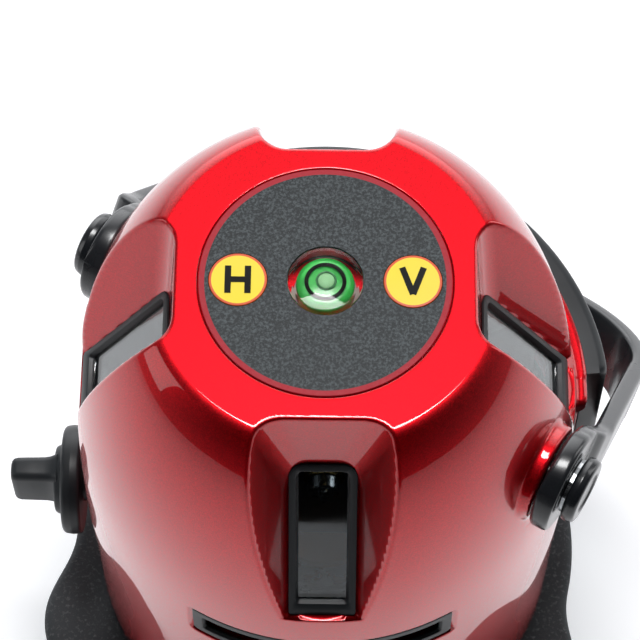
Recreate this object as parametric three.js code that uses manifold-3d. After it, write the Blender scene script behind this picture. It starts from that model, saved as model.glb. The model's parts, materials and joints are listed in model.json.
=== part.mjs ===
// Self-levelling cross-line laser level: a domed head that turns on a levelling base.
// Millimetres, +Z up. The origin is on the head's axis, on the ceiling of the tripod socket.
// The front window faces -Y, the lock knob faces -X, and the battery bay faces azimuth 60 degrees.
import * as THREE from "three";
import { mergeVertices } from "three/addons/utils/BufferGeometryUtils.js";
import Module from "manifold-3d";

const wasm = await Module();
wasm.setup();

// ---------------------------------------------------------------- driving dimensions
const TOP = 172; // height of the flat top plate above the origin
const GAP = 0.3; // running gap between neighbouring pieces
const WALL = 3; // moulded wall
const FINE = 44, ROUND = 20, SMALL = 12; // segments round a large, a middling and a small circle

const dome = {
  plateRadius: 40.8, // edge of the top plate
  widest: 64.8, // radius at the widest level
  widestDepth: 95, // that level's depth below the top plate
  outPower: 1.47, // powers of the rounded-square curve from the plate's edge to the widest level
  upPower: 2.82,
  skirt: 64.1, // radius of the straight skirt
  skirtDepth: 135,
  rimDepth: 158, // bottom rim
  knobFlat: 62.3, // distance of the flat that carries the lock knob
};
const win = {
  topRadius: 37.6, // upper end of the frame: distance from the axis
  topDepth: 19.8, // and depth below the plate
  slope: THREE.MathUtils.degToRad(31.6), // lean of the frame from the vertical
  length: 46.3,
  plateFlat: 35.75, // straight edge that the pocket leaves on the top plate
  halfWidth: 8.85, // half width of the pocket at the frame's face
  draft: 0.62, // how much wider each side gets per millimetre above that face
  bed: 0.8, // depth of the bed that the frame's flange lies in
};
const slot = { middleDepth: 79, halfHeight: 7, halfAngle: 31, bed: 63 };
const keypad = { radius: 29.9, recess: 1, thickness: 0.7, keyRadius: 6.9, keyDistance: 20.6 };
const vial = { radius: 9, height: 8.9 };
const pivot = {
  azimuth: -28.5, depth: 44, rightSeat: 63.4, leftSeat: 58.8, seatRadius: 15.4, bossRadius: 12.6, shank: 4,
};
const handle = {
  droop: 44, thickness: 4.8, width: 17, eyeRadius: 13, half: 65.4, endHalf: 61, reach: 99, corner: 27,
};
const bay = {
  azimuth: 60, halfAngle: 55, outer: 73, inner: 67.2, topDepth: 62.5, bottomDepth: 107,
};
const cell = { radius: 7.2, length: 50.5, distance: 53.2, pitchAngle: 16.6 };
const knob = {
  depth: 122, discRadius: 15, discThickness: 5.4, neck: 3.8, gripOut: 14, gripWide: 7, gripTall: 17,
};
const base = {
  top: 9, underside: -4, discRadius: 71.5, lobeRadius: 21.5, lobeDistance: 63, bossBottom: -12,
};
const lobeAzimuths = [203, 323, 83];
const foot = {
  wheelRadius: 14, wheelTop: -7.5, wheelBottom: -14, padRadius: 9, padTop: -21.6, padBottom: -28,
};
const gimbal = { depth: 36, ringOuter: 16, ringInner: 12.6, halfHeight: 3, pin: 1.5, lug: 21 };
const pendulum = { half: 8, bottom: 34, vertical: 47, horizontal: 79, moduleRadius: 5.4 };

// ---------------------------------------------------------------- solids
// A closed geometry as a manifold-3d solid, whichever way its faces were wound.
function solid(geometry) {
  const bare = geometry.index ? geometry.toNonIndexed() : geometry.clone();
  bare.deleteAttribute("normal");
  bare.deleteAttribute("uv");
  const merged = mergeVertices(bare, 1e-4);
  const index = merged.index.array;
  const kept = [];
  for (let i = 0; i < index.length; i += 3) {
    const [a, b, c] = [index[i], index[i + 1], index[i + 2]];
    if (a !== b && b !== c && c !== a) kept.push(a, b, c);
  }
  const build = (triangles) =>
    new wasm.Manifold(
      new wasm.Mesh({
        numProp: 3,
        vertProperties: new Float32Array(merged.attributes.position.array),
        triVerts: new Uint32Array(triangles),
      }),
    );
  const made = build(kept);
  return made.volume() > 0 ? made : build(kept.reverse());
}

function geometryOf(made) {
  const mesh = made.getMesh();
  const positions = new Float32Array(mesh.numVert * 3);
  for (let i = 0; i < mesh.numVert; i++)
    positions.set(mesh.vertProperties.subarray(i * mesh.numProp, i * mesh.numProp + 3), i * 3);
  return new THREE.BufferGeometry()
    .setAttribute("position", new THREE.BufferAttribute(positions, 3))
    .setIndex(new THREE.BufferAttribute(mesh.triVerts, 1));
}

const join = (...solids) => solids.reduce((a, b) => a.add(b));
const cut = (body, ...tools) => tools.reduce((a, b) => a.subtract(b), body);

// A solid of revolution about Z from a closed outline of [radius, height] corners.
function turned(outline, segments = ROUND) {
  const points = [...outline, outline[0]].map(([r, z]) => new THREE.Vector2(r, z));
  return solid(new THREE.LatheGeometry(points, segments).rotateX(Math.PI / 2));
}

const disc = (radius, low, high, segments = ROUND) =>
  turned([[0, low], [radius, low], [radius, high], [0, high]], segments);

const ring = (inner, outer, low, high, segments = ROUND) =>
  turned([[inner, low], [outer, low], [outer, high], [inner, high]], segments);

// A round bar along X.
const barX = (radius, from, to, segments = ROUND) =>
  solid(
    new THREE.CylinderGeometry(radius, radius, to - from, segments)
      .rotateZ(-Math.PI / 2)
      .translate((from + to) / 2, 0, 0),
  );

const block = (x0, x1, y0, y1, z0, z1) =>
  solid(
    new THREE.BoxGeometry(x1 - x0, y1 - y0, z1 - z0).translate(
      (x0 + x1) / 2,
      (y0 + y1) / 2,
      (z0 + z1) / 2,
    ),
  );

function extruded(shape, low, high, curveSegments = 12) {
  const geometry = new THREE.ExtrudeGeometry(shape, { depth: high - low, bevelEnabled: false, curveSegments });
  return solid(geometry.translate(0, 0, low));
}

// A curved wall about the axis: between two radii, over an angle, between two heights.
function arcWall(inner, outer, azimuth, halfAngle, low, high, curveSegments = 10) {
  const from = THREE.MathUtils.degToRad(azimuth - halfAngle);
  const to = THREE.MathUtils.degToRad(azimuth + halfAngle);
  const shape = new THREE.Shape();
  shape.absarc(0, 0, outer, from, to, false);
  shape.absarc(0, 0, inner, to, from, true);
  shape.closePath();
  return extruded(shape, low, high, curveSegments);
}

function outlineShape(points) {
  return new THREE.Shape(points.map(([x, y]) => new THREE.Vector2(x, y)));
}

const turnZ = (made, degrees) => made.rotate([0, 0, degrees]);

// ---------------------------------------------------------------- materials
const paint = (color, roughness, metalness) => new THREE.MeshStandardMaterial({ color, roughness, metalness });
const glassy = (color, opacity) =>
  new THREE.MeshStandardMaterial({ color, roughness: 0.05, metalness: 0, transparent: true, opacity });
const candyRed = paint(0xc40a18, 0.18, 0.35);
const glossBlack = paint(0x14171a, 0.2, 0);
const softBlack = paint(0x1c1f21, 0.45, 0);
const baseGrey = paint(0x3a3f42, 0.7, 0);
const keypadGrey = paint(0x4a5558, 0.6, 0);
const keyYellow = paint(0xf6e21b, 0.45, 0);
const steel = paint(0xb4b8bb, 0.3, 1);
const brass = paint(0xc8a24a, 0.3, 1);
const aluminium = paint(0xa7abad, 0.4, 1);
const rubber = paint(0x1a1a1a, 0.9, 0);
const white = paint(0xe8e8e4, 0.5, 0);
const boardGreen = paint(0x1f5a35, 0.5, 0);
const cellBlue = paint(0x2c4a78, 0.35, 0.2);
const windowGlass = glassy(0x8b949b, 0.35);
const vialGreen = glassy(0x39d353, 0.5);

const part = new THREE.Group();
const baseGroup = new THREE.Group();
const head = new THREE.Group();
part.add(baseGroup, head);

function piece(parent, name, made, material) {
  const mesh = new THREE.Mesh(geometryOf(made), material);
  mesh.name = name;
  parent.add(mesh);
  return mesh;
}

// ---------------------------------------------------------------- dome and window pockets
function domeRadius(depth) {
  if (depth <= dome.widestDepth) {
    const rise = 1 - depth / dome.widestDepth;
    const share = (1 - rise ** dome.upPower) ** (1 / dome.outPower);
    return dome.plateRadius + (dome.widest - dome.plateRadius) * share;
  }
  const share = Math.min(1, (depth - dome.widestDepth) / (dome.skirtDepth - dome.widestDepth));
  return dome.widest + (dome.skirt - dome.widest) * share;
}

const domeDepths = [0, 3, 8, 15, 24, 35, 48, 62, 78, dome.widestDepth, dome.skirtDepth, dome.rimDepth];

// The dome's solid, shrunk by an inset on its top and sides and open-ended at the bottom.
function domeSolid(inset, topInset, bottomDepth) {
  const outline = [[0, TOP - topInset]];
  for (const depth of domeDepths)
    if (depth > topInset && depth < bottomDepth) outline.push([domeRadius(depth) - inset, TOP - depth]);
  outline.splice(1, 0, [domeRadius(topInset) - inset, TOP - topInset]);
  outline.push([domeRadius(bottomDepth) - inset, TOP - bottomDepth], [0, TOP - bottomDepth]);
  const flat = dome.knobFlat - inset;
  return cut(turned(outline, FINE), block(-flat - 20, -flat, -60, 60, 0, TOP));
}

// The frame's own directions at the front window: Z out of its face, Y up along it.
const frameTilt = Math.PI / 2 - win.slope;
const frameMatrix = new THREE.Matrix4()
  .makeTranslation(0, -win.topRadius, TOP - win.topDepth)
  .multiply(new THREE.Matrix4().makeRotationX(frameTilt));

// A point of the radial plane, [radius, depth], as the frame's [up, out].
function inFrame([radius, depth]) {
  const out = (radius - win.topRadius) * Math.cos(win.slope) + (win.topDepth - depth) * Math.sin(win.slope);
  const up = -(radius - win.topRadius) * Math.sin(win.slope) + (win.topDepth - depth) * Math.cos(win.slope);
  return [up, out];
}

// The pocket that frames each window, in the frame's directions. Its sides spread with the draft.
function pocket(grow, bed) {
  const wallTop = inFrame([win.plateFlat - grow, -2]);
  const wallFoot = inFrame([win.topRadius - grow, win.topDepth]);
  const farOut = inFrame([win.topRadius + 40, -2]);
  const floor = -bed - grow;
  const lift = (floor - wallFoot[1]) / (wallTop[1] - wallFoot[1]);
  const corner = [wallFoot[0] + lift * (wallTop[0] - wallFoot[0]), floor];
  const outline = [corner, [-win.length - grow, floor], [-win.length - grow, 15], farOut, wallTop];
  const geometry = new THREE.ExtrudeGeometry(outlineShape(outline), { depth: 2, bevelEnabled: false });
  geometry.translate(0, 0, -1);
  const position = geometry.getAttribute("position");
  const spread = grow * Math.hypot(1, win.draft);
  for (let i = 0; i < position.count; i++) {
    const [up, out, side] = [position.getX(i), position.getY(i), position.getZ(i)];
    position.setXYZ(i, side * (win.halfWidth + spread + win.draft * out), up, out);
  }
  return solid(geometry.applyMatrix4(frameMatrix));
}

const fourTimes = (made) => join(...[0, 90, 180, 270].map((turn) => turnZ(made, turn)));

// The opening through each pocket's floor.
function windowOpening() {
  const halfWide = 8.1;
  const shape = outlineShape([
    [-halfWide, -1.2], [-halfWide, -win.length + 1.2], [halfWide, -win.length + 1.2], [halfWide, -1.2],
  ]);
  const geometry = new THREE.ExtrudeGeometry(shape, { depth: 12, bevelEnabled: false });
  return solid(geometry.translate(0, 0, -9).applyMatrix4(frameMatrix));
}

// ---------------------------------------------------------------- housing
const slotLow = TOP - slot.middleDepth - slot.halfHeight;
const slotHigh = TOP - slot.middleDepth + slot.halfHeight;
const pivotHeight = TOP - pivot.depth;
const knobHeight = TOP - knob.depth;
const trayHalfAngle = 36;
const tray = { inner: 44.4, outer: 60.8, low: TOP - 121, high: TOP - 66.5 };

const pivotSides = [
  { name: "right", azimuth: pivot.azimuth, seat: pivot.rightSeat },
  { name: "left", azimuth: pivot.azimuth + 180, seat: pivot.leftSeat },
];

function makeHousing() {
  const outside = domeSolid(0, 0, dome.rimDepth);
  const inside = domeSolid(WALL, WALL + keypad.recess, dome.rimDepth + 1);
  const shell = cut(
    cut(outside, fourTimes(pocket(0, win.bed))),
    cut(inside, fourTimes(pocket(WALL, win.bed))),
  );
  // The ledge over the battery cover, the raised land behind the cover, and the handle's bosses.
  const ledge = arcWall(60, 66.9, bay.azimuth, bay.halfAngle + 8, TOP - 66, TOP - 60.6, 14);
  const land = arcWall(60, 66.9, bay.azimuth, bay.halfAngle + 1.5, TOP - 108, TOP - 62, 14);
  const bosses = pivotSides.map(({ azimuth, seat }) =>
    turnZ(
      join(barX(pivot.seatRadius + 1.5, 55, 58.8, 28), barX(pivot.bossRadius, 55, seat, 28)).translate([
        0, 0, pivotHeight,
      ]),
      azimuth,
    ),
  );
  const padded = cut(join(shell, cut(join(ledge, land), inside), ...bosses), fourTimes(pocket(0, win.bed)));
  const post = disc(2.4, TOP - 7.8, TOP - 3.5, SMALL).translate([24, 0, 0]);
  const posts = [30, 150, 270].map((angle) => turnZ(post, angle));
  const seats = pivotSides.map(({ azimuth, seat }) =>
    turnZ(
      join(barX(pivot.seatRadius, seat, 80, 28), barX(pivot.shank + GAP, 40, 80, SMALL)).translate([
        0, 0, pivotHeight,
      ]),
      azimuth,
    ),
  );
  const keyHoles = [-1, 1].map((side) =>
    disc(keypad.keyRadius + GAP, TOP - 6, TOP + 1).translate([side * keypad.keyDistance, 0, 0]),
  );
  return cut(
    join(padded, ...posts),
    fourTimes(windowOpening()),
    ...seats,
    ...keyHoles,
    disc(keypad.radius + 0.25, TOP - keypad.recess, TOP + 1, 48),
    disc(vial.radius + 0.25, TOP - 6, TOP, ROUND),
    arcWall(slot.bed, 80, -90, slot.halfAngle, slotLow, slotHigh),
    arcWall(50, 80, -90, slot.halfAngle - 2.6, slotLow + 3, slotHigh - 3),
    arcWall(58, 80, bay.azimuth, trayHalfAngle + 1, TOP - 105, tray.high + 0.6, 10),
    barX(6.4, -70, -50, ROUND).translate([0, 0, knobHeight]),
  );
}
piece(head, "housing", makeHousing(), candyRed);

// Closes the housing from below and carries the turning bearing.
piece(
  head,
  "bottom_cover",
  turned(
    [[22.4, 11.4], [59.7, 11.4], [60.7, 12], [60.7, 13.7], [58.7, 13.7], [58.7, 17], [55.7, 17], [55.7, 15],
      [22.4, 15]],
    FINE,
  ),
  softBlack,
);

// ---------------------------------------------------------------- windows
const frameNames = ["front", "right", "rear", "left"];
const frameOutline = (half, top, bottom, chamfer) =>
  outlineShape([
    [-half, top - chamfer], [-half, bottom], [half, bottom], [half, top - chamfer],
    [half - chamfer, top], [-half + chamfer, top],
  ]);

function makeFrame() {
  const bottom = -win.length;
  const flange = extruded(frameOutline(8.25, -1.25, bottom + 0.35, 3), -win.bed + GAP, 0.3);
  const plug = extruded(frameOutline(7.8, -1.9, bottom + 1.6, 2.4), -3.3, 0);
  const aperture = extruded(frameOutline(5.8, -3.4, bottom + 4.4, 1), -5, 2);
  const rebate = extruded(frameOutline(6.6, -2.6, bottom + 3.6, 1), -5, -0.9);
  return cut(join(flange, plug), aperture, rebate);
}

function makePane() {
  return extruded(frameOutline(6.3, -2.9, -win.length + 3.9, 1), -2.3, -1.2);
}

frameNames.forEach((name, i) => {
  const side = new THREE.Group();
  side.rotation.z = (i * Math.PI) / 2;
  const seat = new THREE.Group();
  seat.position.set(0, -win.topRadius, TOP - win.topDepth);
  seat.rotation.x = frameTilt;
  side.add(seat);
  head.add(side);
  piece(seat, name + "_window_frame", makeFrame(), softBlack);
  piece(seat, name + "_window_glass", makePane(), windowGlass);
});

const slotFlange = arcWall(slot.bed + 0.2, 64.4, -90, slot.halfAngle - 0.5, slotLow + 0.4, slotHigh - 0.4);
const slotAperture = arcWall(60, 70, -90, slot.halfAngle - 3.4, slotLow + 3.6, slotHigh - 3.6);
piece(head, "slot_window_frame", cut(slotFlange, slotAperture), softBlack);
piece(
  head,
  "slot_window_glass",
  arcWall(59.4, 60.5, -90, slot.halfAngle - 1.5, slotLow + 1, slotHigh - 1),
  windowGlass,
);

// ---------------------------------------------------------------- keypad, keys and bubble vial
const sheetTop = TOP - 0.2;
const keySpots = { h: -keypad.keyDistance, v: keypad.keyDistance };
piece(
  head,
  "keypad_sheet",
  cut(
    disc(keypad.radius, sheetTop - keypad.thickness, sheetTop, 48),
    disc(vial.radius + 0.5, TOP - 3, TOP + 1),
    ...Object.values(keySpots).map((x) => disc(keypad.keyRadius + GAP, TOP - 3, TOP + 1).translate([x, 0, 0])),
  ),
  keypadGrey,
);

for (const [name, x] of Object.entries(keySpots)) {
  const spot = new THREE.Group();
  spot.position.x = x;
  head.add(spot);
  const key = turned([[0, TOP - 5], [1.8, TOP - 5], [1.8, TOP - 2.6], [keypad.keyRadius, TOP - 2.6],
    [keypad.keyRadius, TOP - 0.35], [keypad.keyRadius - 0.3, TOP - 0.1], [0, TOP - 0.1]], ROUND);
  piece(spot, name + "_key", key, keyYellow);
  const body = join(block(-3, 3, -3, 3, TOP - 7.7, TOP - 6.2), disc(1.6, TOP - 6.5, TOP - 5.8, SMALL));
  piece(spot, name + "_switch", body, softBlack);
}

const vialBottom = TOP - 0.1 - vial.height;
piece(
  head,
  "bubble_vial",
  turned([[0, vialBottom], [vial.radius, vialBottom], [vial.radius, TOP - 0.5], [vial.radius - 0.5, TOP - 0.1],
    [0, TOP - 0.1]], 40),
  vialGreen,
);
piece(
  head,
  "vial_cup",
  turned([[0, vialBottom - 2], [11, vialBottom - 2], [11, TOP - 4.3], [vial.radius + GAP, TOP - 4.3],
    [vial.radius + GAP, vialBottom - GAP], [0, vialBottom - GAP]]),
  white,
);
piece(head, "key_board", ring(11.6, 27, TOP - 9.5, TOP - 8.1), boardGreen);

// ---------------------------------------------------------------- battery bay
piece(
  head,
  "battery_tray",
  cut(
    arcWall(tray.inner, tray.outer, bay.azimuth, trayHalfAngle, tray.low, tray.high),
    arcWall(tray.inner + 1.2, tray.outer + 5, bay.azimuth, trayHalfAngle - 1.8, tray.low + 1.6, tray.high - 1.6),
  ),
  softBlack,
);
for (let i = 0; i < 4; i++) {
  const lane = new THREE.Group();
  lane.rotation.z = THREE.MathUtils.degToRad(bay.azimuth + (i - 1.5) * cell.pitchAngle);
  head.add(lane);
  const low = tray.low + 2;
  const outline = [[0, low], [cell.radius, low], [cell.radius, low + cell.length - 1.2],
    [2.6, low + cell.length - 1.2], [2.6, low + cell.length], [0, low + cell.length]];
  piece(lane, "battery_cell_" + (i + 1), turned(outline, 24), cellBlue).position.x = cell.distance;
}

function makeBatteryCover() {
  const low = TOP - bay.bottomDepth;
  const high = TOP - bay.topDepth;
  const bevel = 1.8;
  const tier = (radius, half, z0, z1) => arcWall(bay.inner, radius, bay.azimuth, half, z0, z1, 12);
  const outside = join(
    tier(bay.outer - bevel, bay.halfAngle, low, high),
    tier(bay.outer, bay.halfAngle - 1.4, low + bevel, high - bevel),
  );
  const inner = arcWall(60, bay.outer - 2.4, bay.azimuth, bay.halfAngle - 3.4, low + 2.4, high - 2.4, 12);
  return cut(outside, inner);
}
piece(head, "battery_cover", makeBatteryCover(), softBlack);

// ---------------------------------------------------------------- carrying handle and its screws
function makeHandle() {
  const t = handle.thickness;
  // The bow's line on one side, from the eye out to the cross bar: [across, along], pushed out by a distance.
  const side = (seat, push) => {
    const shoulder = [[seat + GAP, 0], [seat + GAP, 9.5], [handle.half, 14], [handle.half, 24]];
    const line = shoulder.map(([x, y]) => [x + push, y]);
    const centre = [handle.endHalf - handle.corner, handle.reach - handle.corner];
    for (let i = 0; i <= 8; i++) {
      const angle = (i / 8) * (Math.PI / 2);
      const reach = handle.corner + push;
      line.push([centre[0] + reach * Math.cos(angle), centre[1] + reach * Math.sin(angle)]);
    }
    return line;
  };
  const mirrored = (line) => line.map(([x, y]) => [-x, y]);
  const outline = [
    ...side(pivot.rightSeat, t), ...mirrored(side(pivot.leftSeat, t)).reverse(),
    ...mirrored(side(pivot.leftSeat, 0)), ...side(pivot.rightSeat, 0).reverse(),
  ];
  const bow = extruded(outlineShape(outline), -handle.width / 2, handle.width / 2);
  const eyes = join(
    barX(handle.eyeRadius, pivot.rightSeat + GAP, pivot.rightSeat + GAP + t),
    barX(handle.eyeRadius, -pivot.leftSeat - GAP - t, -pivot.leftSeat - GAP),
  );
  return cut(join(bow, eyes), barX(pivot.shank + 0.35, -90, 90, SMALL));
}
const handlePivot = new THREE.Group();
handlePivot.position.z = pivotHeight;
handlePivot.rotation.z = THREE.MathUtils.degToRad(pivot.azimuth);
head.add(handlePivot);
const bowMesh = piece(handlePivot, "handle", makeHandle(), glossBlack);
bowMesh.rotation.x = THREE.MathUtils.degToRad(-handle.droop);

for (const { name, seat } of pivotSides) {
  const end = new THREE.Group();
  end.rotation.z = name === "right" ? 0 : Math.PI;
  handlePivot.add(end);
  const eyeOuter = seat + GAP + handle.thickness;
  const cap = eyeOuter + 1.3;
  const screw = join(
    barX(8.3, cap, cap + 3.4),
    barX(8.6, cap + 0.7, cap + 2.7),
    barX(pivot.shank, 49, cap + 1, SMALL),
  );
  piece(end, name + "_handle_screw", screw, glossBlack);
  const washer = cut(barX(7, eyeOuter + GAP, cap - 0.2), barX(pivot.shank + GAP, 0, 90, SMALL));
  piece(end, name + "_handle_washer", washer, steel);
}

// ---------------------------------------------------------------- transport lock
const lock = new THREE.Group();
lock.position.set(-dome.knobFlat, 0, knobHeight);
lock.rotation.z = Math.PI; // local +X points out of the housing
head.add(lock);
const discFrom = knob.neck, discTo = knob.neck + knob.discThickness;
const gripEnd = discTo + knob.gripOut;
const knobBody = cut(
  join(
    barX(knob.discRadius - 0.8, discFrom, discTo),
    barX(knob.discRadius, discFrom + 0.8, discTo - 0.8),
    barX(5.8, -4, discFrom + 1),
    barX(9, discTo - 0.5, discTo + 2.2),
    block(discTo - 0.5, gripEnd, -knob.gripWide / 2, knob.gripWide / 2, -knob.gripTall / 2, knob.gripTall / 2),
  ),
  barX(3.3, -10, 1.5, SMALL),
);
piece(lock, "lock_knob", knobBody, softBlack);
const camAt = -dome.knobFlat + 28; // the cam's outer face, short of the pendulum's swing
piece(
  lock,
  "lock_shaft",
  join(
    barX(3, camAt - 6, 1.2, SMALL),
    barX(7, camAt - 6, camAt, 24).translate([0, 0, 2.4]),
  ),
  steel,
);

// ---------------------------------------------------------------- pendulum cage, gimbal and pendulum
const cageTop = TOP - 26, cageRing = TOP - 29;
const pillarRadius = 2.6, pillarDistance = 28;
const pillars = [45, 135, 225, 315].map((angle) =>
  turnZ(disc(pillarRadius, 19.6, cageRing - GAP, SMALL).translate([pillarDistance, 0, 0]), angle),
);
piece(head, "pendulum_cage", join(ring(29, 33, 16, 22, 32), ring(22, 31, 19, 22, 32), ...pillars), aluminium);

const gimbalHeight = TOP - gimbal.depth;
const lugs = [1, -1].map((side) => {
  const [near, far] = side > 0 ? [gimbal.lug - 3, gimbal.lug] : [-gimbal.lug, -gimbal.lug + 3];
  return cut(
    block(near, far, -4, 4, gimbalHeight - 4, cageRing + 1),
    barX(gimbal.pin + GAP, -30, 30, SMALL).translate([0, 0, gimbalHeight]),
  );
});
piece(head, "gimbal_bridge", join(ring(17.5, 31, cageRing, cageTop, 28), ...lugs), aluminium);

const gimbalSpot = new THREE.Group();
gimbalSpot.position.z = gimbalHeight;
head.add(gimbalSpot);
const ringPins = join(
  barX(gimbal.pin, gimbal.ringOuter - 1, gimbal.lug + 0.6, 16),
  barX(gimbal.pin, -gimbal.lug - 0.6, -gimbal.ringOuter + 1, 16),
);
const crossBores = turnZ(barX(gimbal.pin + GAP, -30, 30, SMALL), 90);
piece(
  gimbalSpot,
  "gimbal_ring",
  join(cut(ring(gimbal.ringInner, gimbal.ringOuter, -gimbal.halfHeight, gimbal.halfHeight), crossBores), ringPins),
  brass,
);
const yoke = join(
  block(-pendulum.half, pendulum.half, -8.8, 8.8, -5, 5),
  turnZ(barX(gimbal.pin, -15, 15, 16), 90),
);
const column = block(
  -pendulum.half, pendulum.half, -pendulum.half, pendulum.half,
  pendulum.bottom - gimbalHeight, 5,
);
piece(gimbalSpot, "pendulum_body", join(yoke, column), aluminium);
piece(
  head,
  "damping_plate",
  cut(disc(17, 29.6, 33.6, 28), disc(5, 32, 40, SMALL)),
  paint(0xb06a3c, 0.35, 1),
);
piece(head, "damping_magnet", ring(11, 20, 19.4, 24, 24), steel);

// A laser module along -Y: barrel, and the cylinder lens at its mouth in a slotted nose.
function laserModule() {
  const from = pendulum.half + GAP;
  const barrel = join(
    barX(pendulum.moduleRadius, from, from + 9, 24),
    barX(pendulum.moduleRadius - 1.2, from + 9, from + 12.5, 24),
  );
  const rodLens = block(from + 11, from + 14, -3.2, 3.2, -1.1, 1.1);
  return join(barrel, rodLens);
}
const beams = [["front", -90, pendulum.vertical], ["right", 0, pendulum.vertical], ["rear", 90, pendulum.vertical],
  ["left", 180, pendulum.vertical], ["level", -90, pendulum.horizontal]];
for (const [name, azimuth, depth] of beams) {
  const mesh = piece(head, name + "_laser_module", laserModule(), brass);
  mesh.rotation.z = THREE.MathUtils.degToRad(azimuth);
  mesh.position.z = TOP - depth;
}

// ---------------------------------------------------------------- turning bearing and base
piece(baseGroup, "thrust_washer", ring(24, 40, base.top + 0.2, 11.2, 32), white);
piece(baseGroup, "bearing_cap", cut(disc(28, 16.2, 18.4, 28), disc(3, 15, 20, SMALL)), steel);

function makeBasePlate() {
  const edge = 1.6;
  const layer = (inset, low, high) => {
    const lobes = lobeAzimuths.map((angle) => {
      const arm = block(0, base.lobeDistance, -base.lobeRadius + inset, base.lobeRadius - inset, low, high);
      const round = disc(base.lobeRadius - inset, low, high, 28).translate([base.lobeDistance, 0, 0]);
      return turnZ(join(arm, round), angle);
    });
    return join(disc(base.discRadius - inset, low, high, FINE), ...lobes);
  };
  const plate = join(layer(edge, base.underside, base.top), layer(0, base.underside + edge, base.top - edge));
  const bores = lobeAzimuths.map((angle) =>
    turnZ(disc(3.3, base.underside - 1, 6.5, SMALL).translate([base.lobeDistance, 0, 0]), angle),
  );
  return cut(
    join(plate, disc(18, base.bossBottom, base.underside + 1), disc(22, base.top - 1, 15.9, 40)),
    disc(10.3, base.bossBottom - 1, -1),
    disc(7, -2, 0),
    disc(2.6, 4, 17, SMALL),
    ...bores,
  );
}
piece(baseGroup, "base_plate", makeBasePlate(), baseGrey);
piece(baseGroup, "tripod_insert", ring(7.2, 10, base.bossBottom, -1 - GAP), brass);
piece(
  baseGroup,
  "bearing_screw",
  join(disc(2.3, 5, 18.9, SMALL), disc(5, 18.6, 21.2, 24)),
  steel,
);

lobeAzimuths.forEach((angle, i) => {
  const spot = new THREE.Group();
  const turn = THREE.MathUtils.degToRad(angle);
  spot.position.set(base.lobeDistance * Math.cos(turn), base.lobeDistance * Math.sin(turn), 0);
  baseGroup.add(spot);
  const number = i + 1;
  piece(spot, "foot_screw_" + number, join(disc(3, foot.padTop - 3, 2.5, SMALL)), steel);
  const grips = [];
  const grip = disc(1.5, foot.wheelBottom - 1, foot.wheelTop + 1, 6).translate([foot.wheelRadius + 0.4, 0, 0]);
  for (let k = 0; k < 10; k++) grips.push(turnZ(grip, k * 36));
  piece(
    spot,
    "foot_wheel_" + number,
    cut(disc(foot.wheelRadius, foot.wheelBottom, foot.wheelTop), disc(3.3, -30, 0, SMALL), ...grips),
    softBlack,
  );
  const pad = turned([[0, foot.padBottom], [foot.padRadius, foot.padBottom], [foot.padRadius, foot.padBottom + 2.5],
    [6.5, foot.padTop], [3.4, foot.padTop], [3.4, foot.padTop - 3.4], [0, foot.padTop - 3.4]]);
  piece(spot, "foot_pad_" + number, pad, rubber);
});

export default part;
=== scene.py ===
"""Finished looks of the self-levelling cross-line laser level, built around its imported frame.

Shapes are worked out in millimetres and turned into metres where a mesh is made. The head's axis is Z,
the front window faces -Y, the lock knob faces -X and the battery bay faces azimuth 60 degrees.
"""

import json
import math

import bmesh
import bpy
import numpy as np
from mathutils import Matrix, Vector


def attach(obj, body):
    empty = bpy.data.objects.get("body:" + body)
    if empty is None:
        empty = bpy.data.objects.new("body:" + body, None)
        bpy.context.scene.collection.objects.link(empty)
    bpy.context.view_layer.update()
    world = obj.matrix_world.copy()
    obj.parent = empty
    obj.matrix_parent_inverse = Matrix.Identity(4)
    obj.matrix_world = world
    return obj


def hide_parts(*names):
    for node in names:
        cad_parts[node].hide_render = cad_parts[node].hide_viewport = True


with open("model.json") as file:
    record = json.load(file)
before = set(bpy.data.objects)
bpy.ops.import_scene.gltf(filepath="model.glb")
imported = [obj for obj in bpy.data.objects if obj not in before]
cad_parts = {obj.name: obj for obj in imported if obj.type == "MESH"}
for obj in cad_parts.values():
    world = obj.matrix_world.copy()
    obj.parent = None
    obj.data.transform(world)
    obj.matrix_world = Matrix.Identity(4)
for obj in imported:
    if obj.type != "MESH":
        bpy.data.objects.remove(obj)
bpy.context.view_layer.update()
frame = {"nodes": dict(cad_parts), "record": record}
MM = 0.001

# ---------------------------------------------------------------- driving dimensions, millimetres
TOP = 172.0  # height of the flat top plate
DOME = dict(plate=40.8, widest=64.8, widest_depth=95.0, out_power=1.47, up_power=2.82, skirt=64.1,
            skirt_depth=135.0, knob_flat=62.3)
WINDOW = dict(radius=37.6, depth=19.8, slope=math.radians(31.6), length=46.3, plate_flat=35.75,
              half_width=8.85, draft=0.62, bed=0.8)
SLOT = dict(depth=79.0, half_height=7.0, half_angle=31.0, bed=63.0)
KEYPAD = dict(radius=29.9, recess=1.0, thickness=0.7, key_radius=6.9, key_distance=20.6)
VIAL = dict(radius=9.0, height=8.9)
PIVOT = dict(azimuth=-28.5, height=TOP - 44.0, right=63.4, left=58.8, seat_radius=15.4, boss=12.6)
HANDLE = dict(droop=math.radians(44), thickness=4.8, width=17.0, eye=13.0, half=65.4, end_half=61.0,
              reach=99.0, corner=27.0)
BAY = dict(azimuth=60.0, half_angle=55.0, outer=73.0, inner=67.2, top_depth=62.5, bottom_depth=107.0)
LEDGE = dict(radius=66.9, half_angle=63.0, top_depth=60.6, bottom_depth=66.0)
LAND = dict(radius=66.9, half_angle=56.5, top_depth=60.6, bottom_depth=108.0)
OPENING = dict(half_angle=37.0, top_depth=66.4, bottom_depth=105.0)
KNOB = dict(height=50.0, start=63.5, disc=15.0, neck=2.6, disc_end=8.0, hub_end=10.2)
BASE = dict(top=9.0, underside=-4.0, disc=71.5, lobe=21.5, reach=63.0, boss_bottom=-12.0)
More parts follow.
